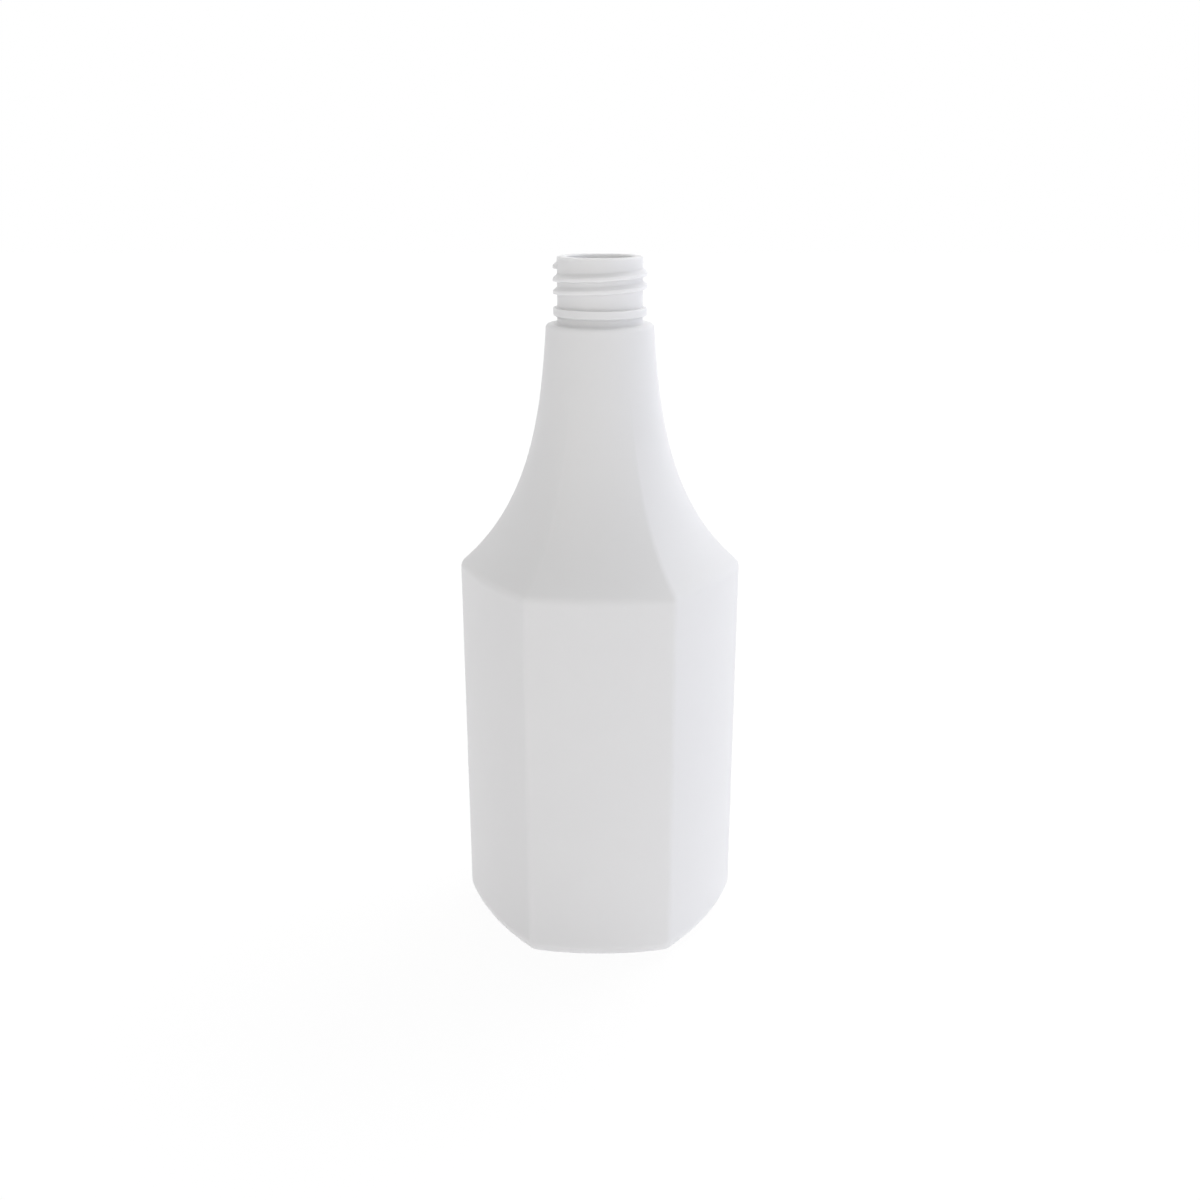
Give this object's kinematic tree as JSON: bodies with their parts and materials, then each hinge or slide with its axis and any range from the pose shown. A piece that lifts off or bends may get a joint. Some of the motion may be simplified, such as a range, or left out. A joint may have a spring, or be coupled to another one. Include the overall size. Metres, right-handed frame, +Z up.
{
  "type": "bottle",
  "caption": "Open blow-moulded plastic bottle with bowed panels around a straight body, a flared shoulder and a screw neck, for liquid toiletries.",
  "frame": {"origin": "middle of the foot, on the surface that the bottle stands on", "axes": "+Z up along the neck's axis; -Y is square to the front panel; +X points at a corner between two panels"},
  "size_m": [0.0736, 0.0682, 0.1782],
  "materials": {
    "white_plastic": "satin white blow-moulded polyethylene"
  },
  "bodies": {
    "root": {"bottle": "white_plastic"}
  },
  "joints": []
}
